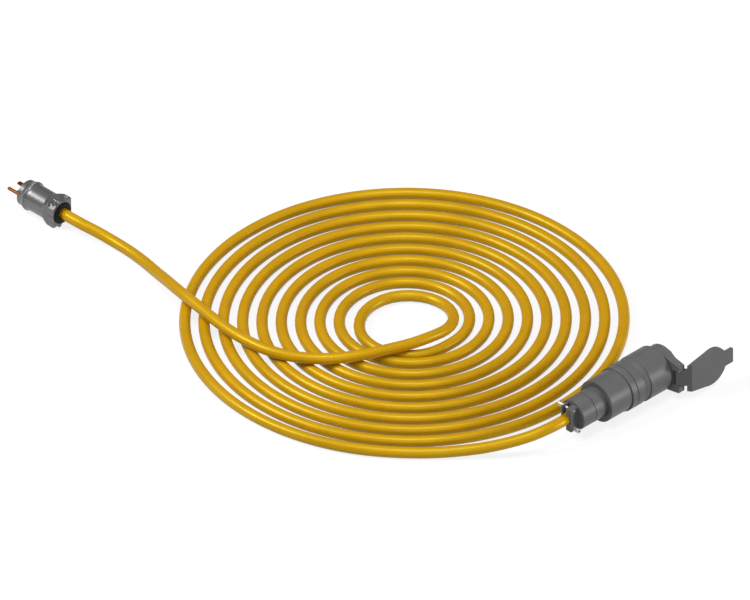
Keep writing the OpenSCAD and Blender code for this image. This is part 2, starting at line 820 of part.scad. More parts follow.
module contact_screws()
    color("gold") on_connector() {
        top = blade_h + block_half_t;
        translate([blade_shift, block_mid, top]) terminal_screw(term_screw_len);
        translate([blade_shift, block_mid, -top]) rotate([180, 0, 0]) terminal_screw(term_screw_len);
        translate([ground_side - block_half_t, block_mid, 0])
            rotate([0, -90, 0]) terminal_screw(term_screw_len);
    }

// Three insulated wires from the end of the jacket to the terminal blocks
module connector_conductors()
    color("black") on_connector()
        for (w = wires) {
            start = wire_spread * unit([w[0] - blade_shift / 2, w[1]]);
            end_y = block_y + block_len - wire_stop - over;
            bent_wire([start[0], jacket_end, start[1]], [w[0], bend_y, w[1]], [w[0], end_y, w[1]], [0, 1, 0]);
        }

module connector_jacket()
    color("goldenrod") on_connector()
        along_y(-jaw_len) cylinder(r = cord_r, h = jacket_end + jaw_len);

// Plug

// Hollow slope from the front ring down to the body
function waist_points(steps) = [for (i = [0:steps])
    let (a = 90 * i / steps)
    [plug_r + (plug_ring_r - plug_r) * (1 - sin(a)), (ring_u + ring_edge) * cos(a)]];

module at_cap_screws()
    for (a = [90:120:330])
        rotate([a, 0, 0]) translate([0, cap_screw_at, 0]) children();

// Four flats that turn the round flare into the square of the cord clamp
module flare_flats() {
    wide = 2 * flare_r;
    for (a = [0:90:270])
        rotate([a, 0, 0])
            translate([flare_u + flat_from, plug_r + flat_rise, 0])
                rotate([0, 0, -flat_tilt]) translate([0, 0, -flare_r]) cube([wide, wide, wide]);
}

module plug_body()
    color("silver") on_plug()
        difference() {
            along_x(0)
                rotate_extrude()
                    polygon(concat(
                        [[plug_inside_r, clamp_u], [plug_inside_r, ring_u], [plug_ring_r, ring_u]],
                        waist_points(6),
                        [[plug_r, flare_u], [flare_r, clamp_u - flare_edge], [flare_r, clamp_u]]));
            flare_flats();
            at_cap_screws()
                along_x(ring_u - over) cylinder(r = cap_hole_r, h = cap_hole_len);
        }

module plug_front_cap()
    color("silver") on_plug()
        difference() {
            along_x(0)
                rotate_extrude()
                    polygon([
                        [0, cap_u], [face_r - face_edge, cap_u], [face_r, cap_u + face_edge],
                        [face_r, cap_u + cap_straight], [plug_ring_r, ring_u], [0, ring_u]]);
            for (side = [-1, 1])
                block(
                    [cap_u - over, blade_shift - slot_half_w, side * blade_h - slot_half_t],
                    [ring_u + over, blade_shift + slot_half_w, side * blade_h + slot_half_t]);
            translate([0, ground_side, 0])
                along_x(cap_u - over) cylinder(r = ground_root_r + slide_gap, h = cap_len + 2 * over);
            at_cap_screws() {
                along_x(cap_u - over) cylinder(r = cap_hole_r, h = cap_len + 2 * over);
                along_x(cap_u - over) cylinder(r = cap_head_r + slide_gap, h = cap_head_h + over);
            }
        }

// A blade with bevelled tip and a terminal plate that seats behind the cap
module plug_blade(side) {
    h = side * blade_h;
    tip_u = cap_u - blade_out;
    bevel = 1.2;
    half_w = blade_w / 2;
    root_u = ring_u + over;
    difference() {
        union() {
            translate([0, blade_shift, h - blade_t / 2])
                linear_extrude(height = blade_t)
                    polygon([
                        [root_u, -half_w], [root_u, half_w], [tip_u + bevel, half_w],
                        [tip_u, half_w - bevel], [tip_u, bevel - half_w], [tip_u + bevel, -half_w]]);
            block(
                [ring_u, blade_shift - block_half, h - term_plate_half],
                [ring_u + term_plate_len, blade_shift + block_half, h + term_plate_half]);
        }
        translate([term_u, blade_shift, h - term_hole_len / 2]) cylinder(r = term_hole_r, h = term_hole_len);
    }
}

module plug_blade_line()
    color("chocolate") on_plug() plug_blade(1);

module plug_blade_neutral()
    color("chocolate") on_plug() plug_blade(-1);

module plug_ground_pin()
    color("chocolate") on_plug()
        difference() {
            translate([0, ground_side, 0])
                union() {
                    r = ground_d / 2;
                    along_x(cap_u - ground_out + r) cylinder(r = r, h = ground_out - r);
                    along_x(cap_u) cylinder(r = ground_root_r, h = cap_len);
                    translate([cap_u - ground_out + r, 0, 0]) sphere(r = r);
                    block(
                        [ring_u, -term_plate_half, -block_half],
                        [ring_u + term_plate_len, term_plate_half, block_half]);
                }
            translate([term_u, ground_side - term_hole_len / 2, 0])
                along_y(0) cylinder(r = term_hole_r, h = term_hole_len);
        }

module plug_terminal_screws()
    color("gold") on_plug() {
        top = blade_h + term_plate_half;
        translate([term_u, blade_shift, top]) terminal_screw(plug_screw_len);
        translate([term_u, blade_shift, -top]) rotate([180, 0, 0]) terminal_screw(plug_screw_len);
        translate([term_u, ground_side + term_plate_half, 0])
            rotate([-90, 0, 0]) terminal_screw(plug_screw_len);
    }

module plug_assembly_screws()
    color("silver") on_plug()
        at_cap_screws()
            along_x(cap_u + cap_head_h)
                slotted_screw(cap_screw_r, cap_screw_len, cap_head_r, cap_head_h - head_sunk);

// The cord clamp before it is cut: a square block with two cut corners and two round ribs
module plug_clamp_blank() {
    s = plug_clamp_half;
    cut = clamp_corner;
    rib_z = plug_rest - plug_rib_r;
    union() {
        rotate([90, 0, 90])
            linear_extrude(height = plug_clamp_len)
                polygon([[s, s], [s, cut - s], [s - cut, -s], [-s, -s], [-s, s - cut], [cut - s, s]]);
        for (side = [-1, 1])
            translate([0, -plug_rib_y, side * rib_z])
                along_x(0) cylinder(r = plug_rib_r, h = plug_clamp_len);
    }
}

module plug_clamp_jaw(side) {
    half = clamp_wide / 2;
    difference() {
        translate([clamp_u, 0, 0]) plug_clamp_blank();
        along_x(clamp_u - over) cylinder(r = hole_r, h = plug_clamp_len + 2 * over);
        translate([clamp_u - over, -half, side > 0 ? clamp_split - clamp_wide : -clamp_split])
            cube([plug_clamp_len + 2 * over, clamp_wide, clamp_wide]);
        for (y = [-plug_screw_y, plug_screw_y])
            translate([clamp_u + plug_clamp_len / 2, y, -half])
                cylinder(r = plug_screw_r + slide_gap, h = clamp_wide);
    }
}

module plug_clamp_upper()
    color("gray") on_plug() plug_clamp_jaw(1);

module plug_clamp_lower()
    color("gray") on_plug() plug_clamp_jaw(-1);

module plug_clamp_screws()
    color("silver") on_plug()
        for (side = [-1, 1])
            translate([clamp_u + plug_clamp_len / 2, side * plug_screw_y, side * plug_clamp_half])
                rotate([side > 0 ? 180 : 0, 0, 0])
                    slotted_screw(plug_screw_r, 2 * plug_clamp_half - 1, plug_head_r, term_head_h);

module plug_grommet()
    color("black") on_plug() along_x(grommet_u)
        rotate_extrude() {
            lip = 1.5;
            polygon([
                [hole_r, 0], [grommet_r, 0], [grommet_r, grommet_len - lip],
                [grommet_r - lip, grommet_len], [hole_r + lip, grommet_len], [hole_r, grommet_len - lip]]);
        }

// Three insulated wires from the end of the jacket to the terminal plates
module plug_conductors()
    color("black") on_plug() {
        step = term_plate_half + wire_hole_r;
        low = blade_h - step;
        ends = [[blade_shift, low], [blade_shift, -low], [ground_side + step, 0]];
        for (w = ends) {
            start = wire_spread * unit([w[0] - blade_shift / 2, w[1]]);
            bend = [plug_wire_bend, w[0], w[1]];
            bent_wire([plug_jacket_u, start[0], start[1]], bend, [plug_wire_u, w[0], w[1]], [-1, 0, 0]);
        }
    }

module plug_jacket()
    color("goldenrod") on_plug()
        along_x(plug_jacket_u) cylinder(r = cord_r, h = cord_u - plug_jacket_u);

cord_coil();
cord_tail();
cord_lead();
clamp_jaw_left();
clamp_jaw_right();
clamp_screws();
strain_relief();
sealing_bushing();
gland_body();
gland_nut();
barrel();
coupling_ring();
lock_ring();
housing_seal();
front_housing();
contact_carrier();
carrier_plate();
carrier_screws();
contact_line();
contact_neutral();
contact_ground();
contact_screws();
connector_conductors();
connector_jacket();
hinge_collar();
collar_screws();
socket_seal();
hinge_pin();
lid();
lid_gasket();
plug_body();
plug_front_cap();
plug_blade_line();
plug_blade_neutral();
plug_ground_pin();
plug_terminal_screws();
plug_assembly_screws();
plug_clamp_upper();
plug_clamp_lower();
plug_clamp_screws();
plug_grommet();
plug_conductors();
plug_jacket();
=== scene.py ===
import json
import math

import bmesh
import bpy
import numpy as np
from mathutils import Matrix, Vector

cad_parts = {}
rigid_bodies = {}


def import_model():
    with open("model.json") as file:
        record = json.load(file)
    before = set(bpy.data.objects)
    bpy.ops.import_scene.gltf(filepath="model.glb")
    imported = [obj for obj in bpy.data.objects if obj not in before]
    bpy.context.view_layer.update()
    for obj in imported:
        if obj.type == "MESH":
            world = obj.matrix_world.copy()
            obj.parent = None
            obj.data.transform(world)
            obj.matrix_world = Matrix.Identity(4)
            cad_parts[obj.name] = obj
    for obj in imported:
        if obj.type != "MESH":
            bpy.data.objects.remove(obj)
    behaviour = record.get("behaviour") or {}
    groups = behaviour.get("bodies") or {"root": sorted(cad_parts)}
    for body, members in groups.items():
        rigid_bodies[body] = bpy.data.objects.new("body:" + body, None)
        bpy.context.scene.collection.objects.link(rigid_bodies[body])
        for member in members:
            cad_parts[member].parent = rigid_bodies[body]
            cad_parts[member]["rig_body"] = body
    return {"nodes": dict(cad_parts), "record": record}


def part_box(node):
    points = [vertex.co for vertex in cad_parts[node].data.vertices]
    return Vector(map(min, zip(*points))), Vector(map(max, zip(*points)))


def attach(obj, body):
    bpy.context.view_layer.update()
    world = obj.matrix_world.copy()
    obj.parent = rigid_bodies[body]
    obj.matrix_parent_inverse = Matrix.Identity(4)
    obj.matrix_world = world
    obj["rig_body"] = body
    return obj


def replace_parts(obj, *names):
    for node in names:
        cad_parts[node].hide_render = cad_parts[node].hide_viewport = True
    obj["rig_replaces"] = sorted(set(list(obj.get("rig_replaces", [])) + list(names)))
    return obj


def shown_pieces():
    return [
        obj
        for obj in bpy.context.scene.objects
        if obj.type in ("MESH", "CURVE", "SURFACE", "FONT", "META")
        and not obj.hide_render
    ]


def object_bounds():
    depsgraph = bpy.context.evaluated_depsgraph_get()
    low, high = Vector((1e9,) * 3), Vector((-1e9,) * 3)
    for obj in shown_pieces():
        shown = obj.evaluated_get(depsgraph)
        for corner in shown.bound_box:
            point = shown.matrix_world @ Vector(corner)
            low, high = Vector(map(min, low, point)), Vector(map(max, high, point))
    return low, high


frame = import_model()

cadLow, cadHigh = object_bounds()
mm = 0.001
scene = bpy.context.scene
scene.view_settings.view_transform = "Standard"
recordNodes = frame["nodes"]
nodeSlot = {part["node"]: part["material_slot"] for part in frame["record"]["subparts"]}


# a node on the connector's axis: its back, its front and its radius
def reach(node):
    low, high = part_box(node)
    return low.y, high.y, (high.x - low.x) / 2


def middleOf(node):
    low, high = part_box(node)
    return (low + high) / 2


def addPiece(name, mesh, material, body, replaced):
    piece = bpy.data.objects.new(name, mesh)
    scene.collection.objects.link(piece)
    mesh.materials.clear()
    mesh.materials.append(material)
    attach(piece, body)
    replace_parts(piece, *replaced)
    return piece


# a piece in the place of one node, with that node's body and finish
def standIn(name, mesh, node):
    slotName = nodeSlot[node]
    return addPiece(name, mesh, finish[slotName], recordNodes[node]["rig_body"], (node,))


# a camera or lamp at some distance from a point, facing it
def addFacing(name, data, aim, way, distance):
    thing = bpy.data.objects.new(name, data)
    scene.collection.objects.link(thing)
    way = Vector(way).normalized()
    thing.location = Vector(aim) + way * distance
    thing.rotation_euler = (-way).to_track_quat("-Z", "Y").to_euler()
    return thing


# camera, square on to the corner of the frame as in the photo
cameraSet = {
    "aim": (-0.40392, -0.09061, 0.00762),
    "back": (1, -1, 1),
    "distance": 3.0,
    "width": 0.9864,
}


def makeCamera():
    data = bpy.data.cameras.new("photoCamera")
    data.type = "ORTHO"
    data.ortho_scale = cameraSet["width"]
    scene.camera = addFacing("photoCamera", data, cameraSet["aim"], cameraSet["back"], cameraSet["distance"])


makeCamera()
print("camera set")

# finishes: soft patches of tone, and a fine grain in roughness and bump
grainSet = {
    "patchScale": 38.0,
    "patchDetail": 3.0,
    "grainDetail": 5.0,
    "toneSpan": (0.35, 0.65),
    "roughSpan": (0.3, 0.7),
}
finishSet = {
    "housing": {
        "name": "mouldedGrey", "tone": (0.115, 0.115, 0.115), "shade": 0.05, "rough": (0.38, 0.44),
        "grain": 1500.0, "depth": 0.01 * mm, "metal": 0.0, "specular": 0.25, "ior": 1.5},
    "plug_shell": {
        "name": "glossGrey", "tone": (0.065, 0.065, 0.065), "shade": 0.03, "rough": (0.33, 0.38),
        "grain": 420.0, "depth": 0.004 * mm, "metal": 0.0, "specular": 0.9, "ior": 1.7},
    "plug_clamp": {
        "name": "clampGrey", "tone": (0.065, 0.065, 0.065), "shade": 0.04, "rough": (0.3, 0.34),
        "grain": 600.0, "depth": 0.004 * mm, "metal": 0.0, "specular": 0.8, "ior": 1.7},
    "seal_rubber": {
        "name": "blackRubber", "tone": (0.006, 0.006, 0.006), "shade": 0.2, "rough": (0.5, 0.6),
        "grain": 900.0, "depth": 0.03 * mm, "metal": 0.0, "specular": 0.15, "ior": 1.5},
    "steel": {
        "name": "plainSteel", "tone": (0.52, 0.52, 0.52), "shade": 0.05, "rough": (0.46, 0.56),
        "grain": 700.0, "depth": 0.008 * mm, "metal": 1.0, "specular": 0.5, "ior": 1.5},
    "contact_brass": {
        "name": "contactBrass", "tone": (0.72, 0.5, 0.18), "shade": 0.06, "rough": (0.24, 0.36),
        "grain": 600.0, "depth": 0.008 * mm, "metal": 1.0, "specular": 0.5, "ior": 1.5},
    "tinned_contact": {
        "name": "tinnedBrass", "tone": (0.66, 0.66, 0.64), "shade": 0.05, "rough": (0.25, 0.36),
        "grain": 600.0, "depth": 0.008 * mm, "metal": 1.0, "specular": 0.5, "ior": 1.5},
    "prong_copper": {
        "name": "prongCopper", "tone": (0.32, 0.1, 0.018), "shade": 0.08, "rough": (0.24, 0.34),
        "grain": 500.0, "depth": 0.01 * mm, "metal": 1.0, "specular": 0.5, "ior": 1.5},
    "insulator": {
        "name": "creamInsulator", "tone": (0.56, 0.53, 0.45), "shade": 0.04, "rough": (0.4, 0.5),
        "grain": 800.0, "depth": 0.01 * mm, "metal": 0.0, "specular": 0.5, "ior": 1.5},
    "wire_insulation": {
        "name": "wireBlack", "tone": (0.02, 0.02, 0.02), "shade": 0.1, "rough": (0.35, 0.45),
        "grain": 500.0, "depth": 0.01 * mm, "metal": 0.0, "specular": 0.5, "ior": 1.5},
}
cordFinish = {
    "tone": (0.52, 0.265, 0.001),
    "shade": 0.05,
    "patchScale": 26.0,
    "patchDetail": 4.0,
    "rough": (0.36, 0.42),
    "scuffScale": 210.0,
    "scuffDetail": 6.0,
    "lines": (1.0, 46.0, 1.0),  # drawn along the cord, close together round it
    "lineScale": 1.0,
    "lineDetail": 3.0,
    "lineDepth": 0.05 * mm,
    "specular": 0.6,
    "tint": (1.0, 1.0, 0.12, 1),
    "ior": 1.7,
}


def setValues(node, values):
    for socket, value in values.items():
        node.inputs[socket].default_value = value


def addNode(tree, kind, values):
    node = tree.nodes.new(kind)
    setValues(node, values)
    return node


def startMaterial(name):
    material = bpy.data.materials.new(name)
    material.use_nodes = True
    tree = material.node_tree
    return material, tree, tree.nodes["Principled BSDF"]


def addNoise(tree, source, scale, detail):
    noise = addNode(tree, "ShaderNodeTexNoise", {"Scale": scale, "Detail": detail})
    tree.links.new(source, noise.inputs["Vector"])
    return noise.outputs["Fac"]


def addTone(tree, shader, patches, tone, shade):
    ramp = tree.nodes.new("ShaderNodeValToRGB")
    darker, lighter = ramp.color_ramp.elements
    darker.position, lighter.position = grainSet["toneSpan"]
    darker.color = (*(channel * (1 - shade) for channel in tone), 1)
    lighter.color = (*(channel * (1 + shade) for channel in tone), 1)
    tree.links.new(patches, ramp.inputs["Fac"])
    tree.links.new(ramp.outputs["Color"], shader.inputs["Base Color"])


def addRoughness(tree, shader, grain, rough):
    start, stop = grainSet["roughSpan"]
    spread = addNode(tree, "ShaderNodeMapRange", {
        "From Min": start, "From Max": stop, "To Min": rough[0], "To Max": rough[1]})
    tree.links.new(grain, spread.inputs["Value"])
    tree.links.new(spread.outputs["Result"], shader.inputs["Roughness"])


def addBump(tree, shader, height, depth):
    bump = addNode(tree, "ShaderNodeBump", {"Distance": depth})
    tree.links.new(height, bump.inputs["Height"])
    tree.links.new(bump.outputs["Normal"], shader.inputs["Normal"])


def mottled(look):
    material, tree, shader = startMaterial(look["name"])
    place = tree.nodes.new("ShaderNodeTexCoord").outputs["Object"]
    patches = addNoise(tree, place, grainSet["patchScale"], grainSet["patchDetail"])
    addTone(tree, shader, patches, look["tone"], look["shade"])
    grain = addNoise(tree, place, look["grain"], grainSet["grainDetail"])
    addRoughness(tree, shader, grain, look["rough"])
    addBump(tree, shader, grain, look["depth"])
    setValues(shader, {
        "Metallic": look["metal"], "Specular IOR Level": look["specular"], "IOR": look["ior"]})
    return material


def makeCordVinyl():
    look = cordFinish
    material, tree, shader = startMaterial("cordVinyl")
    coords = tree.nodes.new("ShaderNodeTexCoord")
    place = coords.outputs["Object"]
    patches = addNoise(tree, place, look["patchScale"], look["patchDetail"])
    addTone(tree, shader, patches, look["tone"], look["shade"])
    scuffs = addNoise(tree, place, look["scuffScale"], look["scuffDetail"])
    addRoughness(tree, shader, scuffs, look["rough"])
    mapping = addNode(tree, "ShaderNodeMapping", {"Scale": look["lines"]})
    tree.links.new(coords.outputs["UV"], mapping.inputs["Vector"])
    lines = addNoise(tree, mapping.outputs["Vector"], look["lineScale"], look["lineDetail"])
    addBump(tree, shader, lines, look["lineDepth"])
    setValues(shader, {
        "Specular IOR Level": look["specular"], "Specular Tint": look["tint"], "IOR": look["ior"]})
    return material


finish = {"cord_jacket": makeCordVinyl()}
for slotName, look in finishSet.items():
    finish[slotName] = mottled(look)
print("finishes made", len(finish))

# the cord: one smooth line from the connector through the coil to the plug
cordSet = {
    "thickness": 15.24 * mm,
    "coilRadius": 304.8 * mm,
    "pitch": 25.4 * mm,
    "turns": 9,
    "stepsPerTurn": 24,
    "firstStep": 3,
    "connectorAt": (329.48 * mm, -25.38 * mm),  # from the middle of the coil to the strain relief
    "leaves": (0, -1, 0),
    "arrives": (-1, 0, 0),
    "spacing": 11 * mm,
    "sides": 24,
    # free stretches in millimetres round the middle of the coil, with the height above a cord on the floor
    "tail": [
        (329.7, -50, 24.7), (327.5, -68, 23.6), (320, -90, 19.8), (305, -114, 13.8),
        (284, -139, 7), (260, -165, 2.3), (240, -186.5, 0.4)],
    "lead": [
        (71, -36, 0), (58, -56, 0), (37.5, -70.5, 0), (11.5, -76, 0), (-15, -71, 0),
        (-37, -56, 0), (-52.5, -34, 0), (-58.5, -7, 0), (-53.5, 20, 0), (-38, 41, 0.1),
        (-15, 54, 0.5), (9, 56, 1.6), (32, 48, 3.8), (50, 31, 6.8), (59.5, 8, 10.2),
        (61, -13, 13.2), (59.5, -32, 15.2), (55.5, -51, 15.9), (48, -71, 15.9), (38, -94, 15.9),
        (26, -118, 15.9), (12, -141, 15.9), (-6, -161.5, 15.9), (-27, -178, 15.9), (-52, -190.5, 15.9),
        (-82, -198, 15.9), (-116, -200, 15.9), (-154, -197.5, 15.9), (-194, -191, 15.9), (-230, -185, 15.8),
        (-256, -179, 14), (-282, -170.5, 9.6), (-304, -163, 4.8), (-326, -156, 1.4), (-350, -151, 0.1),
        (-376, -148.5, 0.1), (-403, -149.5, 1.8), (-429, -155, 7), (-446, -160, 10.6), (-461, -162.5, 12.7)],
}
cordRadius = cordSet["thickness"] / 2
reliefBack, reliefFront, reliefRadius = reach("strain_relief")
connectorMiddle = middleOf("strain_relief")
coilMiddle = Vector((connectorMiddle.x - cordSet["connectorAt"][0], reliefBack - cordSet["connectorAt"][1], 0))
jawBack = reach("clamp_jaw_right")[0]
grommetLow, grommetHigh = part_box("plug_grommet")
plugMiddle = middleOf("plug_grommet")
cordExit = Vector((connectorMiddle.x, jawBack, connectorMiddle.z))
cordStop = Vector((grommetHigh.x, plugMiddle.y, plugMiddle.z))


def coilPoint(step):
    turn = step / cordSet["stepsPerTurn"]
    radius = cordSet["coilRadius"] - cordSet["pitch"] * turn
    angle = -2 * math.pi * turn
    return coilMiddle + Vector((radius * math.cos(angle), radius * math.sin(angle), cordRadius))


def laid(route):
    return [coilMiddle + Vector((x * mm, y * mm, z * mm + cordRadius)) for x, y, z in route]


# a cubic through all points with even bending, which leaves and arrives in the given ways
def smoothLine(points, startWay, endWay, spacing):
    places = np.array([tuple(point) for point in points])
    gaps = np.linalg.norm(np.diff(places, axis=0), axis=1)
    count = len(places)
    matrix = np.zeros((count, count))
    right = np.zeros((count, 3))
    matrix[0, 0] = matrix[-1, -1] = 1
    right[0], right[-1] = startWay, endWay
    for i in range(1, count - 1):
        before, after = gaps[i - 1], gaps[i]
        matrix[i, i - 1], matrix[i, i], matrix[i, i + 1] = after, 2 * (before + after), before
        stepIn, stepOut = places[i] - places[i - 1], places[i + 1] - places[i]
        right[i] = 3 * (after * stepIn / before + before * stepOut / after)
    slopes = np.linalg.solve(matrix, right)
    line = []
    for i, gap in enumerate(gaps):
        steps = max(1, int(round(gap / spacing)))
        for k in range(steps):
            t = k / steps
            start = (1 + 2 * t) * (1 - t) ** 2 * places[i] + t * (1 - t) ** 2 * gap * slopes[i]
            end = t * t * (3 - 2 * t) * places[i + 1] + t * t * (t - 1) * gap * slopes[i + 1]
            line.append(start + end)
    line.append(places[-1])
    return np.array(line)


# a round tube along a line, closed at both ends, with length and way round as its UV
def sweptTube(name, line, radius, sides):
    way = np.gradient(line, axis=0)
    way /= np.linalg.norm(way, axis=1)[:, None]
    side = np.cross(way, (0, 0, 1))
    side /= np.linalg.norm(side, axis=1)[:, None]
    up = np.cross(side, way)
    travelled = np.concatenate([[0], np.cumsum(np.linalg.norm(np.diff(line, axis=0), axis=1))])
    turn = 2 * np.pi * np.arange(sides) / sides
    ring = side[:, None, :] * np.cos(turn)[None, :, None] + up[:, None, :] * np.sin(turn)[None, :, None]
    verts = (line[:, None, :] + radius * ring).reshape(-1, 3)
    faces, marks = [], []
    for i in range(len(line) - 1):
        here, there = i * sides, (i + 1) * sides
        u0, u1 = travelled[i], travelled[i + 1]
        for j in range(sides):
            k = (j + 1) % sides
            v0, v1 = j / sides, (j + 1) / sides
            faces.append((here + j, there + j, there + k, here + k))
            marks += [(u0, v0), (u1, v0), (u1, v1), (u0, v1)]
    last = (len(line) - 1) * sides
    faces.append(tuple(range(sides)))
    faces.append(tuple(last + j for j in reversed(range(sides))))
    marks += [(0, 0)] * (2 * sides)
    mesh = bpy.data.meshes.new(name)
    mesh.from_pydata([tuple(vert) for vert in verts], [], faces)
    uv = mesh.uv_layers.new(name="cordLength")
    for loop, mark in zip(uv.data, marks):
        loop.uv = mark
    mesh.shade_smooth()
    mesh.update()
    return mesh, float(travelled[-1])


def makeCordLine():
    lastStep = cordSet["turns"] * cordSet["stepsPerTurn"]
    coil = [coilPoint(step) for step in range(cordSet["firstStep"], lastStep + 1)]
    points = [cordExit] + laid(cordSet["tail"]) + coil + laid(cordSet["lead"]) + [cordStop]
    return smoothLine(points, cordSet["leaves"], cordSet["arrives"], cordSet["spacing"])


cordLine = makeCordLine()
cordMesh, cordLength = sweptTube("cord", cordLine, cordRadius, cordSet["sides"])
cord = addPiece(
    "cord", cordMesh, finish["cord_jacket"], "cord_set", ("cord_coil", "cord_tail", "cord_lead"))
print("cord laid, metres:", round(cordLength, 3))

# turned pieces: an outline swung round an axis, each point with radius, place along the axis and corner radius
turnSet = {
    "segments": 112,
    "cornerSteps": 4,
    "cornerShare": 0.48,  # the most of a side that one corner may take
    "normalWeight": 60,
}


def rounded(outline):
    done = []
    steps, share = turnSet["cornerSteps"], turnSet["cornerShare"]
    for i, (radius, along, corner) in enumerate(outline):
        here = Vector((radius, along))
        if corner <= 0:
            done.append(here)
            continue
        before = Vector(outline[i - 1][:2]) - here
        after = Vector(outline[(i + 1) % len(outline)][:2]) - here
        half = before.angle(after) / 2
        cut = min(corner / math.tan(half), share * before.length, share * after.length)
        first = here + before.normalized() * cut
        second = here + after.normalized() * cut
        for k in range(steps + 1):
            t = k / steps
            done.append((1 - t) ** 2 * first + 2 * t * (1 - t) * here + t * t * second)
    return done


def turned(name, outline, centre, axis):
    profile = rounded(outline)
    count, segments = len(profile), turnSet["segments"]
    verts, faces = [], []
    for s in range(segments):
        angle = 2 * math.pi * s / segments
        for point in profile:
            across, high = point.x * math.cos(angle), point.x * math.sin(angle)
            if axis == "y":
                verts.append((centre.x + across, point.y, centre.z + high))
            else:
                verts.append((point.y, centre.y + across, centre.z + high))
        here, there = s * count, (s + 1) % segments * count
        for i in range(count):
            j = (i + 1) % count
            faces.append((here + i, here + j, there + j, there + i))
    mesh = bpy.data.meshes.new(name)
    mesh.from_pydata(verts, [], faces)
    work = bmesh.new()
    work.from_mesh(mesh)
    bmesh.ops.recalc_face_normals(work, faces=work.faces)
    work.to_mesh(mesh)
    work.free()
    mesh.shade_smooth()
    return mesh


def turnedPiece(name, node, outline, centre, axis):
    piece = standIn(name, turned(name, outline, centre, axis), node)
    modifier = piece.modifiers.new("evenNormals", "WEIGHTED_NORMAL")
    modifier.weight = turnSet["normalWeight"]
    modifier.keep_sharp = True
    return piece


# connector housing, turned on its own axis
housingSet = {
    "edge": 0.5 * mm,
    "groove": 0.5 * mm,
    "grooveDepth": 1.5 * mm,
    "grooveCorner": 0.2 * mm,
    "cordGap": 0.1 * mm,
    "slideGap": 0.1 * mm,
    "reliefWall": 6 * mm,
    "seatRadius": 17 * mm,
    "glandBore": 13 * mm,
    "glandSpigot": 17.92 * mm,
    "insideRadius": 24 * mm,
    "spigotRadius": 27.276 * mm,
    "backWall": 6 * mm,
    "ringEdge": 0.8 * mm,
    "neckRadius": 30.4 * mm,
    "neckLength": 10 * mm,
    "lipRadius": 21.5 * mm,
    "frontEdge": 0.8 * mm,
    "frontCorner": 0.3 * mm,
}


def makeHousing():
    edge, corner = housingSet["edge"], housingSet["grooveCorner"]
    groove, slide = housingSet["groove"], housingSet["slideGap"]
    inside, spigot = housingSet["insideRadius"], housingSet["spigotRadius"]
    glandBack, glandFront, _ = reach("gland_body")
    barrelBack, barrelFront, barrelRadius = reach("barrel")
    couplingBack, couplingFront, ringRadius = reach("coupling_ring")
    lockBack, lockFront, _ = reach("lock_ring")
    housingBack, housingFront, frontRadius = reach("front_housing")
    carrierFront = reach("contact_carrier")[1]

    cordBore = cordRadius + housingSet["cordGap"]
    seat, seatBack = housingSet["seatRadius"], reliefBack + housingSet["reliefWall"]
    reliefFloor = reliefRadius - housingSet["grooveDepth"]
    strainRelief = [
        (cordBore, reliefBack, edge), (reliefRadius, reliefBack, edge),
        (reliefRadius, reliefFront - groove, corner), (reliefFloor, reliefFront - groove, 0),
        (reliefFloor, reliefFront, 0), (seat, reliefFront, 0), (seat, seatBack, 0), (cordBore, seatBack, 0)]

    glandBore, glandSpigot = housingSet["glandBore"], housingSet["glandSpigot"]
    glandSection = [
        (glandBore, glandBack, 0), (seat - slide, glandBack, 0), (seat - slide, reliefFront, 0),
        (reliefFloor, reliefFront, 0), (reliefFloor, reliefFront + groove, 0),
        (reliefRadius, reliefFront + groove, corner), (reliefRadius, barrelBack, 0),
        (glandSpigot, barrelBack, 0), (glandSpigot, glandFront, 0), (glandBore, glandFront, 0)]

    barrelHole, wallFront = glandSpigot + slide, barrelBack + housingSet["backWall"]
    barrelShell = [
        (barrelHole, barrelBack, 0), (barrelRadius, barrelBack, edge), (barrelRadius, couplingBack, 0),
        (spigot, couplingBack, 0), (spigot, barrelFront, 0), (inside, barrelFront, 0),
        (inside, wallFront, 0), (barrelHole, wallFront, 0)]

    ringEdge, ringBore = housingSet["ringEdge"], spigot + slide
    ringFloor = ringRadius - housingSet["grooveDepth"]
    couplingRing = [
        (ringBore, couplingBack, 0), (ringRadius - ringEdge, couplingBack, corner),
        (ringRadius, couplingBack + ringEdge, corner), (ringRadius, couplingFront - groove, corner),
        (ringFloor, couplingFront - groove, 0), (ringFloor, couplingFront, 0), (ringBore, couplingFront, 0)]
    lockRing = [
        (ringBore, lockBack, 0), (ringFloor, lockBack, 0), (ringFloor, lockBack + groove, 0),
        (ringRadius, lockBack + groove, corner), (ringRadius, lockFront - ringEdge, corner),
        (ringRadius - ringEdge, lockFront, corner), (ringBore, lockFront, 0)]

    neck, neckFront = housingSet["neckRadius"], lockFront + housingSet["neckLength"]
    lip, frontEdge = housingSet["lipRadius"], housingSet["frontEdge"]
    frontCorner = housingSet["frontCorner"]
    frontHousing = [
        (inside, housingBack, 0), (spigot, housingBack, 0), (spigot, lockFront, 0), (neck, lockFront, 0),
        (neck, neckFront, 0), (frontRadius, neckFront, edge),
        (frontRadius, housingFront - frontEdge, frontCorner),
        (frontRadius - frontEdge, housingFront, frontCorner),
        (lip, housingFront, 0), (lip, carrierFront, 0), (inside, carrierFront, 0)]

    for name, node, outline in (
            ("strainRelief", "strain_relief", strainRelief), ("glandSection", "gland_body", glandSection),
            ("barrelShell", "barrel", barrelShell), ("couplingRing", "coupling_ring", couplingRing),
            ("lockRing", "lock_ring", lockRing), ("frontHousing", "front_housing", frontHousing)):
        turnedPiece(name, node, outline, connectorMiddle, "y")


makeHousing()
print("housing turned")

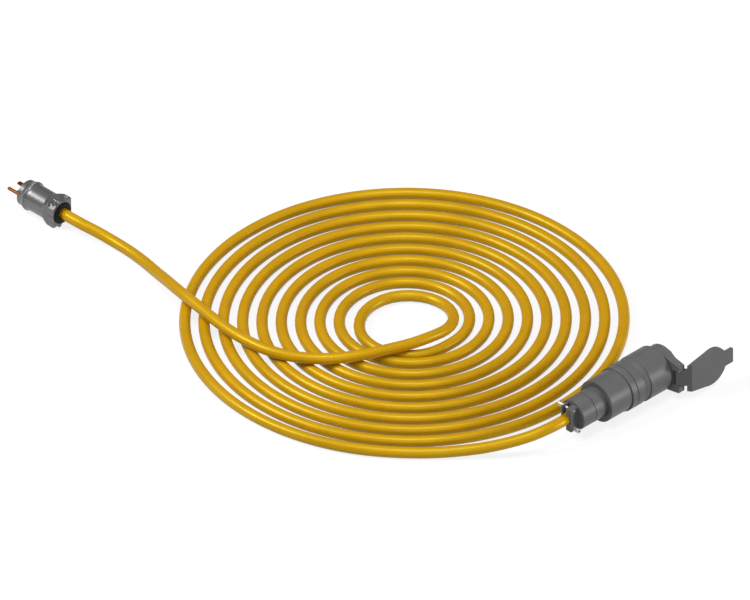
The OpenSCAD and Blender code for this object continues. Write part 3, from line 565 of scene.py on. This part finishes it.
# clamps, screws, collar, lid, plug shell and blades: their CAD shape with its sharp edges eased
easeSet = {
    "weldWithin": 0.004 * mm,
    "flatBelow": 0.4,  # these three are angles in degrees
    "sharpAbove": 26,
    "easeAbove": 32,
    "segments": 3,
    "widths": {
        "clampJawLeft": ("clamp_jaw_left", 0.5 * mm),
        "clampJawRight": ("clamp_jaw_right", 0.7 * mm),
        "clampScrews": ("clamp_screws", 0.3 * mm),
        "hingeCollar": ("hinge_collar", 0.4 * mm),
        "collarScrews": ("collar_screws", 0.15 * mm),
        "lidPlate": ("lid", 0.4 * mm),
        "plugShell": ("plug_body", 0.3 * mm),
        "bladeLine": ("plug_blade_line", 0.2 * mm),
        "bladeNeutral": ("plug_blade_neutral", 0.2 * mm),
        "plugClampUpper": ("plug_clamp_upper", 0.5 * mm),
        "plugClampLower": ("plug_clamp_lower", 0.5 * mm),
        "plugClampScrews": ("plug_clamp_screws", 0.2 * mm),
        "plugFaceScrews": ("plug_assembly_screws", 0.12 * mm),
    },
}


# a copy of a node's mesh with whole flat faces, smooth but for its sharp edges
def cleanCopy(name, node):
    mesh = recordNodes[node].data.copy()
    mesh.name = name
    work = bmesh.new()
    work.from_mesh(mesh)
    bmesh.ops.remove_doubles(work, verts=work.verts, dist=easeSet["weldWithin"])
    flatBelow = math.radians(easeSet["flatBelow"])
    inner = [edge for edge in work.edges if len(edge.link_faces) == 2 and edge.calc_face_angle() < flatBelow]
    bmesh.ops.dissolve_edges(work, edges=inner, use_verts=True)
    bmesh.ops.recalc_face_normals(work, faces=work.faces)
    work.to_mesh(mesh)
    work.free()
    for layer in ("sharp_face", "sharp_edge", "custom_normal"):
        if layer in mesh.attributes:
            mesh.attributes.remove(mesh.attributes[layer])
    mesh.shade_smooth()
    mesh.set_sharp_from_angle(angle=math.radians(easeSet["sharpAbove"]))
    return mesh


def eased(name, node, width):
    piece = standIn(name, cleanCopy(name, node), node)
    bevel = piece.modifiers.new("easedEdges", "BEVEL")
    bevel.width = width
    bevel.segments = easeSet["segments"]
    bevel.limit_method = "ANGLE"
    bevel.angle_limit = math.radians(easeSet["easeAbove"])
    bevel.use_clamp_overlap = True
    bevel.loop_slide = False
    bevel.harden_normals = True
    return piece


easedPieces = {name: eased(name, node, width) for name, (node, width) in easeSet["widths"].items()}
print("edges eased", len(easedPieces))

# rubber grommet, turned on the plug's axis
grommetSet = {
    "cordGap": 0.1 * mm,
    "lip": 1.5 * mm,
    "edge": 0.8 * mm,
}


def makeGrommet():
    bore = cordRadius + grommetSet["cordGap"]
    wide = (grommetHigh.y - grommetLow.y) / 2
    back, front = grommetLow.x, grommetHigh.x
    lip, edge = grommetSet["lip"], grommetSet["edge"]
    return turnedPiece("plugGrommet", "plug_grommet", [
        (bore, back, 0), (wide, back, 0), (wide, front - lip, edge), (wide - lip, front, edge),
        (bore + lip, front, edge), (bore, front - lip, edge)], plugMiddle, "x")


grommet = makeGrommet()
print("grommet turned")

# the rest keeps its CAD mesh and takes the finish of its slot
replacedNodes = {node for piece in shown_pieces() if "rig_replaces" in piece for node in piece["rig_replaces"]}
keptNodes = {name: node for name, node in recordNodes.items() if name not in replacedNodes}
for name, node in keptNodes.items():
    node.data.materials.clear()
    node.data.materials.append(finish[nodeSlot[name]])
print("CAD nodes finished", len(keptNodes))

# the plug's pieces, gathered in one list
onCord = [grommet]
onCord += [easedPieces[name] for name, (node, _) in easeSet["widths"].items() if node.startswith("plug_")]
onCord += [node for name, node in keptNodes.items() if name.startswith("plug_")]

# floor, sky and lamps
stageSet = {
    "floorSize": 30.0,
    "floorDrop": 0.3 * mm,
    "floorTone": (0.2, 0.2, 0.2, 1),
    "floorRough": 0.9,
    "floorSpecular": 0.1,
    "floorGlow": 0.82,
    "white": (1, 1, 1, 1),
    "skyLow": 0.08,
    "skyHigh": 0.3,
    "skyTop": 0.8,  # how high the sky reaches its full strength
    "lampsFar": 4.5,
    "lamps": [
        {"name": "leftLamp", "way": (-0.45, -0.54, 0.7), "size": 1.7, "power": 128},
        {"name": "topLamp", "way": (0.18, -0.18, 0.965), "size": 1.6, "power": 78},
        {"name": "rightLamp", "way": (1.0, 0.67, 0.15), "size": 1.6, "power": 104},
        {"name": "fillLamp", "way": (0.8, -0.55, 0.45), "size": 4.0, "power": 46},
    ],
}


def addMath(tree, operation, first, second=None):
    node = tree.nodes.new("ShaderNodeMath")
    node.operation = operation
    tree.links.new(first, node.inputs[0])
    if second is not None:
        tree.links.new(second, node.inputs[1])
    return node


# the floor glows for the camera, and in gloss and glass, but puts no soft light on the object
def addGlow(tree, shader):
    rays = tree.nodes.new("ShaderNodeLightPath").outputs
    seen = addMath(tree, "MAXIMUM", rays["Is Camera Ray"], rays["Is Glossy Ray"])
    seen = addMath(tree, "MAXIMUM", seen.outputs[0], rays["Is Transmission Ray"])
    glow = addMath(tree, "MULTIPLY", seen.outputs[0])
    glow.inputs[1].default_value = stageSet["floorGlow"]
    tree.links.new(glow.outputs[0], shader.inputs["Emission Strength"])


def makeFloor():
    half = stageSet["floorSize"] / 2
    mesh = bpy.data.meshes.new("paleFloor")
    corners = [(-half, -half, 0), (half, -half, 0), (half, half, 0), (-half, half, 0)]
    mesh.from_pydata(corners, [], [(0, 1, 2, 3)])
    floor = bpy.data.objects.new("paleFloor", mesh)
    scene.collection.objects.link(floor)
    floor.location = (cadLow + cadHigh) / 2
    floor.location.z = cadLow.z - stageSet["floorDrop"]
    material, tree, shader = startMaterial("paleFloor")
    setValues(shader, {
        "Base Color": stageSet["floorTone"], "Roughness": stageSet["floorRough"],
        "Specular IOR Level": stageSet["floorSpecular"], "Emission Color": stageSet["white"]})
    addGlow(tree, shader)
    mesh.materials.append(material)


def makeSky():
    scene.world = bpy.data.worlds.new("studioSky")
    scene.world.use_nodes = True
    tree = scene.world.node_tree
    background = tree.nodes["Background"]
    setValues(background, {"Color": stageSet["white"]})
    way = tree.nodes.new("ShaderNodeSeparateXYZ")
    tree.links.new(tree.nodes.new("ShaderNodeTexCoord").outputs["Generated"], way.inputs["Vector"])
    climb = addNode(tree, "ShaderNodeMapRange", {
        "From Max": stageSet["skyTop"], "To Min": stageSet["skyLow"], "To Max": stageSet["skyHigh"]})
    tree.links.new(way.outputs["Z"], climb.inputs["Value"])
    tree.links.new(climb.outputs["Result"], background.inputs["Strength"])


def makeLamps():
    for lamp in stageSet["lamps"]:
        data = bpy.data.lights.new(lamp["name"], "AREA")
        data.shape = "DISK"
        data.size = lamp["size"]
        data.energy = lamp["power"]
        addFacing(lamp["name"], data, cameraSet["aim"], lamp["way"], stageSet["lampsFar"])


makeFloor()
makeSky()
makeLamps()
print("stage lit")
